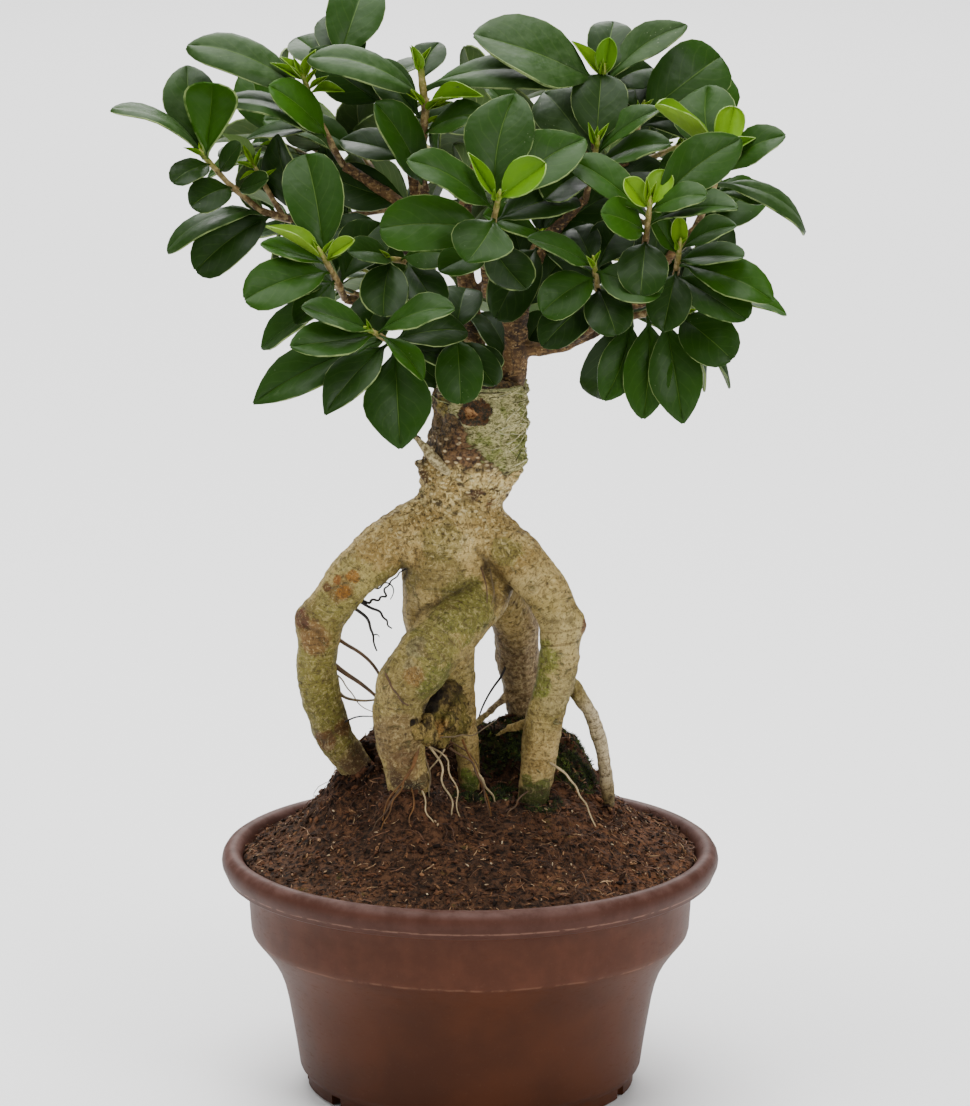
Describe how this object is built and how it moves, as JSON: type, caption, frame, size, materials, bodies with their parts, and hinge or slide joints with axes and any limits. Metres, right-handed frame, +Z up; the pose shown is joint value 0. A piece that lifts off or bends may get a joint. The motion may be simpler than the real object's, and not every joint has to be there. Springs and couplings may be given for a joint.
{
  "type": "potted ginseng ficus bonsai",
  "caption": "Potted ginseng fig bonsai: swollen bare roots standing in soil, a thick trunk and a dense grafted crown of small oval leaves, in a round brown nursery pot.",
  "frame": {"origin": "Under the middle of the pot, on the surface that the pot stands on. The crown is wider than the pot, and the middle of the whole bounding box lies within 2 mm of this point across X and Y.", "axes": "+Z up along the plant, -Y towards the front that the picture shows, +X to the right seen from the front."},
  "size_m": [0.2689, 0.2, 0.4416],
  "materials": {
    "pot_plastic": "satin moulded polypropylene, brown",
    "soil": "damp dark peat and coir, loose and fibrous",
    "root_bark": "smooth speckled beige and olive bark",
    "branch_bark": "fine reddish-brown bark",
    "foliage": "leathery dark green leaf with a satin upper face and a paler underside"
  },
  "bodies": {
    "root": {"pot": "pot_plastic", "soil": "soil", "rootstock": "root_bark", "scion_left": "branch_bark", "scion_right": "branch_bark", "scion_back": "branch_bark", "shoot_left_tip": "foliage", "shoot_left_front": "foliage", "shoot_low_left": "foliage", "shoot_low_centre": "foliage", "shoot_inner_left": "foliage", "shoot_top_left": "foliage", "shoot_crest": "foliage", "shoot_leader": "foliage", "shoot_centre": "foliage", "shoot_top_right": "foliage", "shoot_mid_right": "foliage", "shoot_crown_right": "foliage", "shoot_right_tip": "foliage", "shoot_right_front": "foliage", "shoot_low_right": "foliage", "shoot_far_right": "foliage", "shoot_hanging": "foliage", "shoot_inner_01": "foliage", "shoot_inner_02": "foliage", "shoot_inner_03": "foliage", "shoot_inner_04": "foliage", "shoot_inner_05": "foliage", "shoot_inner_06": "foliage", "shoot_inner_07": "foliage", "shoot_inner_08": "foliage", "shoot_inner_09": "foliage", "shoot_inner_10": "foliage", "shoot_inner_11": "foliage", "shoot_inner_12": "foliage", "shoot_inner_13": "foliage", "shoot_inner_14": "foliage", "shoot_inner_15": "foliage", "shoot_inner_16": "foliage", "shoot_inner_17": "foliage", "shoot_inner_18": "foliage", "shoot_inner_19": "foliage", "shoot_inner_20": "foliage", "shoot_inner_21": "foliage", "shoot_inner_22": "foliage", "shoot_inner_23": "foliage", "shoot_inner_24": "foliage", "shoot_inner_25": "foliage", "shoot_inner_26": "foliage"}
  },
  "joints": []
}
